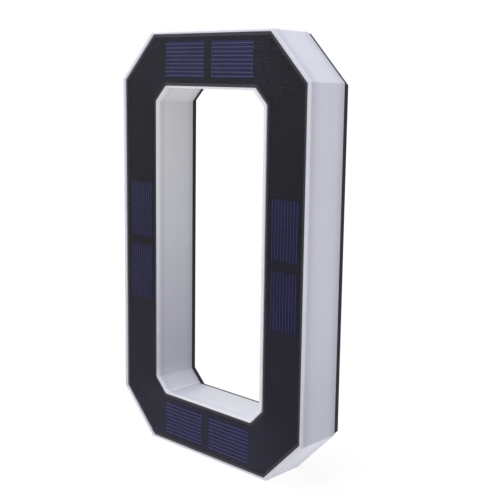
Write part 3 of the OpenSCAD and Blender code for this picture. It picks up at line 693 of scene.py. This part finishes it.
class HOUSENUMBER_OT_housing(bpy.types.Operator):
    """Builds the opal housing with rounded rims, its hollow and its screw bosses"""

    bl_idname = "house_number.housing"
    bl_label = "Housing"

    def execute(self, context):
        s = context.scene.house_number_sizes
        inset = s.wall + s.draft
        panel_margins, no_margins = (s.margin_side, s.margin_end, s.margin_corner), (0.0, 0.0, 0.0)

        def outer(offset, panel=False):
            insets = [m + offset for m in (panel_margins if panel else no_margins)]
            corners = eight_corners(s.sign_width, s.sign_height, s.corner_cut, *insets)
            return rounded(corners, max(s.corner_round - offset, s.edge_round))

        def inner(offset, panel=False):
            insets = [-m - offset for m in (panel_margins if panel else no_margins)]
            corners = eight_corners(s.window_width, s.window_height, s.window_cut, *insets)
            return rounded(corners, s.window_round + offset)

        def half(outline, r, draft):
            """The stations of one side of the ring, from the pocket's floor to the web's back.

            The rear edges are cut twice, at a third and at the whole of their rounding.
            """
            e = s.edge_round
            turn = [math.radians(a) for a in (90, 67.5, 45, 22.5, 0)]
            rim = [(outline(r - r * math.cos(a)), FRONT_Y + r - r * math.sin(a)) for a in turn]
            return (
                [(outline(-s.panel_gap, True), POCKET_Y), (outline(-s.panel_gap, True), FRONT_Y + e / 2),
                 (outline(-s.panel_gap - e / 2, True), FRONT_Y)]
                + rim
                + [(outline(draft * 0.98), WALL_Y - e), (outline(draft + e * 0.3), WALL_Y - e * 0.3),
                   (outline(draft + e), WALL_Y), (outline(inset - e), WALL_Y), (outline(inset), WALL_Y - e),
                   (outline(inset), WEB_Y + e * 3), (outline(inset + e * 3), WEB_Y)]
            )

        outer_half = half(outer, s.rim_round, s.draft)
        stations = outer_half + half(inner, s.window_rim_round, s.window_draft)[::-1]
        milky = context.scene.house_number_colours.milky
        # The outer walls and the window are one opal in two copies with different painted light and shade
        outer_opal = opal_plastic("opal_polystyrene", milky, OUTER_PAINTED_SHADE, [OUTER_PAINTED_HEIGHT_SHADE], OUTER_REACH)
        shell = swept_ring("milky_shell", stations, outer_opal)
        ramps = [WINDOW_PAINTED_HEIGHT_SHADE, WINDOW_PAINTED_CREASE_LIGHT]
        window_opal = opal_plastic("opal_polystyrene_window", milky, WINDOW_PAINTED_LIGHT_SHADE, ramps, WINDOW_REACH)
        shell.data.materials.append(window_opal)
        per_ring = len(stations[0][0])
        for face in shell.data.polygons:
            face.material_index = int(face.index // per_ring >= len(outer_half))
        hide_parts("housing")
        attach(shell, "sign")

        outside, bore, bevel, bore_floor = s.boss_width / 2, s.pilot_width / 2, 0.2 * MM, WEB_Y + 3 * MM
        profile = [(bore, bore_floor), (bore, WALL_Y), (outside - bevel, WALL_Y),
                   (outside, WALL_Y - bevel), (outside, WEB_Y), (bore, WEB_Y)]
        tube = turned("boss", profile + profile[:1])
        maker = link("boss", tube)
        points = [(x, 0.0, z) for x, z in screw_places()]
        mesh = grow("screw_bosses", points, copies_tree(), {"Piece": maker, "Material": outer_opal})
        bpy.data.objects.remove(maker)
        bosses = keep("screw_bosses", mesh)
        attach(bosses, "sign")
        return {"FINISHED"}


class HOUSENUMBER_OT_panel(bpy.types.Operator):
    """Finishes the solar panel: board, cells with finger lines, and the clear film"""

    bl_idname = "house_number.panel"
    bl_label = "Solar panel"

    def execute(self, context):
        s = context.scene.house_number_sizes
        colours = context.scene.house_number_colours
        dress("solar_board", solder_mask((*colours.board, 1.0)))
        # One silicon, with a painted sheen on the end cells and painted shade on the side cells
        blues = {
            True: silicon("blue_silicon", colours.cell),
            False: silicon("blue_silicon_painted_shade", colours.side_painted_shade_cell),
        }
        cells = {n: "top" in n or "bottom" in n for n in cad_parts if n.startswith("cell_")}
        for node, lying in cells.items():
            dress(node, blues[lying])

        # Silver paste, printed and fired: a dull, faintly grainy line that the film's tint turns blue, with a
        # painted sheen on the end cells' lines and painted shade on the side cells' lines
        silvers = {
            lying: moulded(name, (*tint, 1.0), 0.2, 0.003, 0.45, 0.08, 1.5, 0.12)
            for lying, name, tint in ((True, "silver_paste", colours.finger),
                                      (False, "silver_paste_painted_shade", colours.side_painted_shade_finger))
        }
        tree = finger_tree()
        bar_inset = 0.2 * MM
        made = bmesh.new()
        for lying in (True, False):
            group = [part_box(node) for node, lies in cells.items() if lies == lying]
            low, high = group[0]
            long_side = high.x - low.x if lying else high.z - low.z
            short_side = high.z - low.z if lying else high.x - low.x
            centres = [
                ((a.x + b.x) / 2, CELL_FRONT_Y - s.finger_height / 2, (a.z + b.z) / 2) for a, b in group
            ]
            mesh = grow(
                "fingers",
                centres,
                tree,
                {
                    "Count": s.finger_count,
                    "Pitch": s.finger_pitch,
                    "Bar": (long_side - 2 * bar_inset, s.finger_height, s.finger_width),
                    "Start": (0.0, 0.0, s.finger_first - short_side / 2),
                    "Turn": (0.0, 0.0 if lying else math.pi / 2, 0.0),
                    "Material": silvers[lying],
                },
            )
            for face in mesh.polygons:
                face.material_index = int(not lying)
            made.from_mesh(mesh)
            bpy.data.meshes.remove(mesh)
        whole = bpy.data.meshes.new("finger_lines")
        made.to_mesh(whole)
        made.free()
        for silver in silvers.values():
            whole.materials.append(silver)
        fingers = link("finger_lines", whole)
        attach(fingers, "sign")

        border = s.film_border
        margins = (s.margin_side, s.margin_end, s.margin_corner)

        def outer(offset):
            insets = [m + border + offset for m in margins]
            return rounded(eight_corners(s.sign_width, s.sign_height, s.corner_cut, *insets), s.corner_round)

        def inner(offset):
            insets = [-m - border - offset for m in margins]
            corners = eight_corners(s.window_width, s.window_height, s.window_cut, *insets)
            return rounded(corners, s.window_round + border)

        # Bare glass fibre, sawn: a matt, faintly streaked grey edge that frames the film, its lighter grey
        # partly the bare fibre and partly a painted highlight beside the rims
        bare = moulded("bare_glass_fibre", (*colours.bare, 1.0), 0.5, 0.003, 0.5, 0.06, 1.45, 0.1)
        gap, skin = 0.05 * MM, 0.06 * MM
        shelf = [(gap - border, CELL_FRONT_Y), (gap - border, CELL_FRONT_Y - skin),
                 (-gap, CELL_FRONT_Y - skin), (-gap, CELL_FRONT_Y)]
        for name, outline in (("outer_edge_band", outer), ("window_edge_band", inner)):
            band = swept_ring(name, [(outline(o), y) for o, y in shelf], bare)
            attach(band, "sign")

        # The film clears the finger lines, and its edge is eased towards the front
        lift, ease = 2 * s.finger_height, 0.1 * MM
        edge = [(0.0, CELL_FRONT_Y - lift), (0.0, FRONT_Y + ease), (0.3 * ease, FRONT_Y + 0.3 * ease),
                (ease, FRONT_Y)]
        stations = [(outer(o), y) for o, y in edge] + [(inner(o), y) for o, y in edge[::-1]]
        film = swept_ring("front_film", stations, clear_film())
        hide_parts("panel_film")
        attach(film, "sign")
        return {"FINISHED"}


class HOUSENUMBER_OT_cover(bpy.types.Operator):
    """Finishes the rear cover and its seals"""

    bl_idname = "house_number.cover"
    bl_label = "Rear cover"

    def execute(self, context):
        colours = context.scene.house_number_colours
        # ABS from a spark-eroded mould: a matt black with a fine even texture and no clear reflections
        black = moulded("black_textured_abs", (*colours.cover, 1.0), 0.45, 0.02, 0.58, 0.08, 1.37, 0.08)
        cover = eased_copy("rear_cover", "back_cover", black, 0.25 * MM)
        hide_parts("rear_cover")
        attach(cover, "sign")
        # Silicone rubber, moulded: soft-looking dark grey with hardly any shine
        rubber = moulded("black_silicone", srgb("#242427"), 0.7, 0.008, 0.6, 0.06, 1.41)
        for node in ("outer_seal", "window_seal", "lead_grommet"):
            dress(node, rubber)
        return {"FINISHED"}


class HOUSENUMBER_OT_screws(bpy.types.Operator):
    """Builds the eight cover screws with rounded heads and cross recesses"""

    bl_idname = "house_number.screws"
    bl_label = "Cover screws"

    def execute(self, context):
        s = context.scene.house_number_sizes
        low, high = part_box("cover_screws")
        top, tip = high.y, low.y
        seat = top - s.head_height
        head, shank, chamfer = s.head_width / 2, s.thread_width / 2, 0.1 * MM

        # The head's crown starts above its rim, and follows part of an ellipse
        rim = 0.5 * MM
        crown = [(head * math.cos(a), seat + rim + (s.head_height - rim) * math.sin(a))
                 for a in [math.radians(d) for d in (0, 20, 38, 54, 68)]]

        # The thread's root is a share of its outer radius, and it starts under the head and ends at the tip
        root, tip_share, pitch = shank * 0.86, 0.8, 1.0 * MM
        thread = []
        for k in range(int((seat - tip - 1.5 * pitch) / pitch)):
            y = seat - 0.4 * pitch - k * pitch
            thread += [(root, y), (shank, y - 0.35 * pitch), (root, y - 0.7 * pitch)]
        profile = ([(0.0, top)] + crown[::-1] + [(head, seat + chamfer), (head - chamfer, seat), (root, seat)]
                   + thread + [(shank * tip_share, tip + tip_share * pitch), (0.0, tip)])
        maker = link("screw", turned("screw", profile, 40))

        # The cross recess: two arms that narrow towards the floor, cut out of the head
        shape = bmesh.new()
        reach, half, deep, over, floor_share = 1.3 * MM, s.cross_width / 2, 0.8 * MM, 0.5 * MM, 0.55
        signs = ((-1, -1), (1, -1), (1, 1), (-1, 1))
        for wide, tall in ((reach, half), (half, reach)):
            low_wide, low_tall = (v * floor_share if v > half else v for v in (wide, tall))
            floor = [shape.verts.new((i * low_wide, top - deep, k * low_tall)) for i, k in signs]
            roof = [shape.verts.new((i * wide, top + over, k * tall)) for i, k in signs]
            shape.faces.new(floor)
            shape.faces.new(roof)
            for i in range(4):
                j = (i + 1) % 4
                shape.faces.new((floor[i], floor[j], roof[j], roof[i]))
        cutter = link("recess", closed_mesh("recess", shape))
        cut = maker.modifiers.new("recess", "BOOLEAN")
        cut.object = cutter
        cut.operation = "DIFFERENCE"
        cut.solver = "EXACT"
        cut.use_self = True
        # Stainless steel, headed and rolled: bright, with a soft streaked shine
        steel = metal("stainless_steel", "#b9babd", 0.3, 0.3)
        points = [(x, 0.0, z) for x, z in screw_places()]
        mesh = grow("screws", points, copies_tree(), {"Piece": maker, "Material": steel})
        bpy.data.objects.remove(maker)
        bpy.data.objects.remove(cutter)
        screws = keep("pan_head_screws", mesh)
        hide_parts("cover_screws")
        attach(screws, "sign")
        dress("board_screws", steel)
        return {"FINISHED"}


class HOUSENUMBER_OT_button(bpy.types.Operator):
    """Finishes the push button with its ring and plunger"""

    bl_idname = "house_number.button"
    bl_label = "Power button"

    def execute(self, context):
        # ABS from a fine-blasted mould: dark grey, smoother and a little shinier than the cover
        grey = moulded("satin_grey_abs", srgb("#45454b"), 0.6, 0.008, 0.36, 0.05, 1.54)
        button = eased_copy("power_button", "push_button", grey, 0.2 * MM, 3)
        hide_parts("power_button")
        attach(button, "button")
        dress("button_ring", moulded("brown_nitrile", srgb("#2a1512"), 0.4, 0.004, 0.5, 0.06, 1.5))
        dress("switch_plunger", moulded("red_acetal", srgb("#b0231f"), 0.8, 0.004, 0.35, 0.05, 1.48))
        return {"FINISHED"}


class HOUSENUMBER_OT_inside(bpy.types.Operator):
    """Finishes the parts inside the housing"""

    bl_idname = "house_number.inside"
    bl_label = "Inner parts"

    def execute(self, context):
        # Printed and rolled whites are even and half matt, moulded epoxy and nylon a little duller, and foam
        # is the coarsest and fully matt
        white = moulded("white_solder_mask", srgb("#e9e9e6"), 0.5, 0.004, 0.4, 0.05, 1.5)
        sheet = moulded("white_reflector_film", srgb("#f2f2f2"), 0.8, 0.004, 0.5, 0.05, 1.57)
        phosphor = moulded("yellow_phosphor", srgb("#e8cf6a"), 0.3, 0.004, 0.45, 0.05, 1.45)
        black = moulded("black_epoxy", srgb("#222225"), 0.4, 0.004, 0.4, 0.05, 1.5)
        nickel = metal("nickel_strip", "#c9c6bd", 0.34, 0.3)
        finishes = {
            "panel_tape": moulded("acrylic_foam_tape", srgb("#dcdcdf"), 0.5, 0.02, 0.7, 0.08, 1.47),
            "control_board": moulded("green_solder_mask", srgb("#14532a"), 0.7, 0.006, 0.36, 0.05, 1.5, 0.12),
            "charging_coil": moulded("dark_ferrite", srgb("#3a3532"), 0.3, 0.01, 0.55, 0.06, 1.6),
            "wire_sockets": moulded("ivory_nylon", srgb("#ebe4d2"), 0.9, 0.006, 0.45, 0.05, 1.53),
            "driver_chips": black,
            "power_switch": black,
            "battery": moulded("blue_shrink_wrap", srgb("#2a5ea0"), 1.5, 0.01, 0.28, 0.06, 1.53),
            "battery_pad": moulded("dark_foam", srgb("#4d4d52"), 0.5, 0.08, 0.85, 0.08, 1.4, 0.15),
            "battery_tabs": nickel,
            "light_link_wires": moulded("white_wire_jacket", srgb("#d9d9db"), 0.9, 0.006, 0.5, 0.05, 1.5),
        }
        for node, material in finishes.items():
            dress(node, material)
        for side in ("left", "right", "top", "bottom"):
            dress("light_bar_" + side, white)
            dress("lights_" + side, phosphor)
        for side in ("left", "right"):
            dress("reflector_" + side, sheet)
        jacket = moulded("red_wire_jacket", srgb("#a2201c"), 0.9, 0.006, 0.45, 0.05, 1.5)
        for node in ("panel_wires", "battery_wires", "light_feed_wires"):
            dress(node, jacket)
        return {"FINISHED"}


class HOUSENUMBER_OT_stage(bpy.types.Operator):
    """Sets the camera, the pale floor and the soft studio light"""

    bl_idname = "house_number.stage"
    bl_label = "Stage"

    def execute(self, context):
        scene = context.scene
        scene.view_settings.view_transform = "Standard"

        lens = bpy.data.cameras.new("camera")
        lens.lens = CAMERA_LENS
        lens.sensor_width = CAMERA_SENSOR
        lens.shift_x, lens.shift_y = CAMERA_SHIFT
        lens.clip_start = CAMERA_NEAR
        lens.clip_end = CAMERA_FAR
        camera = link("camera", lens)
        forward = Vector(CAMERA_FORWARD).normalized()
        right = forward.cross(Vector(CAMERA_UP)).normalized()
        up = right.cross(forward)
        turn = Matrix((right, up, -forward)).transposed().to_4x4()
        camera.matrix_world = Matrix.Translation(CAMERA_PLACE) @ turn
        scene.camera = camera

        ground = bpy.data.meshes.new("studio_floor")
        h = FLOOR_HALF
        ground.from_pydata([(-h, -h, 0), (h, -h, 0), (h, h, 0), (-h, h, 0)], [], [(0, 1, 2, 3)])
        floor = link("studio_floor", ground)

        # Matt white paper: it glows where it is seen, mirrored or seen through, and a little less close to
        # the sign, so that the sign keeps its shadow
        paper = bpy.data.materials.new("white_paper_floor")
        paper.use_nodes = True
        tree = paper.node_tree
        tree.nodes.clear()
        matte = add_node(tree, "ShaderNodeBsdfDiffuse", inputs={"Color": srgb("#f6f6f8")})
        glow = add_node(tree, "ShaderNodeEmission", inputs={"Color": (1, 1, 1, 1), "Strength": FLOOR_GLOW})
        path = add_node(tree, "ShaderNodeLightPath")
        seen = add_node(
            tree, "ShaderNodeMath", settings={"operation": "MAXIMUM"},
            links={0: path.outputs["Is Camera Ray"], 1: path.outputs["Is Transmission Ray"]},
        )
        spot = add_node(tree, "ShaderNodeTexCoord")
        reach = add_node(
            tree, "ShaderNodeVectorMath", settings={"operation": "LENGTH"}, links={0: spot.outputs["Object"]}
        )
        fade = add_node(
            tree, "ShaderNodeMapRange",
            inputs={"From Min": FLOOR_NEAR, "From Max": FLOOR_FAR, "To Min": FLOOR_SHADE, "To Max": 1.0},
            links={"Value": reach.outputs["Value"]},
        )
        shown = add_node(
            tree, "ShaderNodeMath", settings={"operation": "MULTIPLY"},
            links={0: seen.outputs[0], 1: fade.outputs["Result"]},
        )
        mirrored = add_node(
            tree, "ShaderNodeMath", settings={"operation": "MAXIMUM"},
            links={0: shown.outputs[0], 1: path.outputs["Is Glossy Ray"]},
        )
        share = add_node(
            tree, "ShaderNodeMath", settings={"operation": "MAXIMUM"}, inputs={1: FLOOR_BOUNCE},
            links={0: mirrored.outputs[0]},
        )
        mixed = add_node(
            tree, "ShaderNodeMixShader", links={0: share.outputs[0], 1: matte.outputs[0], 2: glow.outputs[0]}
        )
        add_node(tree, "ShaderNodeOutputMaterial", links={"Surface": mixed.outputs[0]})
        ground.materials.append(paper)

        # The room: white where it is seen, mirrored or seen through, and a dim even light for the rest
        world = bpy.data.worlds.new("studio")
        scene.world = world
        world.use_nodes = True
        tree = world.node_tree
        tree.nodes.clear()
        path = add_node(tree, "ShaderNodeLightPath")
        ambient = add_node(
            tree, "ShaderNodeBackground", inputs={"Color": srgb("#f8f8ff"), "Strength": ROOM_LIGHT}
        )
        white = add_node(tree, "ShaderNodeBackground", inputs={"Color": (1, 1, 1, 1), "Strength": 1.0})
        seen = add_node(
            tree, "ShaderNodeMath", settings={"operation": "MAXIMUM"},
            links={0: path.outputs["Is Camera Ray"], 1: path.outputs["Is Glossy Ray"]},
        )
        seen_through = add_node(
            tree, "ShaderNodeMath", settings={"operation": "MAXIMUM"},
            links={0: seen.outputs[0], 1: path.outputs["Is Transmission Ray"]},
        )
        mixed = add_node(
            tree, "ShaderNodeMixShader",
            links={0: seen_through.outputs[0], 1: ambient.outputs[0], 2: white.outputs[0]},
        )
        add_node(tree, "ShaderNodeOutputWorld", links={"Surface": mixed.outputs[0]})

        aim = Vector((0.0, 0.0, MID_Z))
        for name, place, size, power, tint in LAMPS:
            data = bpy.data.lights.new(name, "AREA")
            data.shape = "SQUARE"
            data.size = size
            data.energy = power
            data.color = tint
            lamp = link(name, data)
            lamp.location = place
            lamp.rotation_euler = (aim - Vector(place)).to_track_quat("-Z", "Y").to_euler()
        return {"FINISHED"}


class HOUSENUMBER_PT_panel(bpy.types.Panel):
    bl_label = "House Number Sign"
    bl_idname = "HOUSENUMBER_PT_panel"
    bl_space_type = "VIEW_3D"
    bl_region_type = "UI"
    bl_category = "House Number"

    def draw(self, context):
        scene = context.scene
        for group in (scene.house_number_sizes, scene.house_number_colours):
            box = self.layout.box()
            for name in group.__annotations__:
                box.prop(group, name)
        for operator in OPERATORS:
            self.layout.operator(operator.bl_idname)


OPERATORS = (
    HOUSENUMBER_OT_stage,
    HOUSENUMBER_OT_housing,
    HOUSENUMBER_OT_panel,
    HOUSENUMBER_OT_cover,
    HOUSENUMBER_OT_screws,
    HOUSENUMBER_OT_button,
    HOUSENUMBER_OT_inside,
)
CLASSES = (HouseNumberSizes, HouseNumberColours, *OPERATORS, HOUSENUMBER_PT_panel)


def register():
    for item in CLASSES:
        bpy.utils.register_class(item)
    bpy.types.Scene.house_number_sizes = PointerProperty(type=HouseNumberSizes)
    bpy.types.Scene.house_number_colours = PointerProperty(type=HouseNumberColours)


def unregister():
    del bpy.types.Scene.house_number_colours
    del bpy.types.Scene.house_number_sizes
    for item in reversed(CLASSES):
        bpy.utils.unregister_class(item)


def main():
    register()
    bpy.ops.house_number.stage()
    bpy.ops.house_number.housing()
    bpy.ops.house_number.panel()
    bpy.ops.house_number.cover()
    bpy.ops.house_number.screws()
    bpy.ops.house_number.button()
    bpy.ops.house_number.inside()


if __name__ == "__main__":
    main()
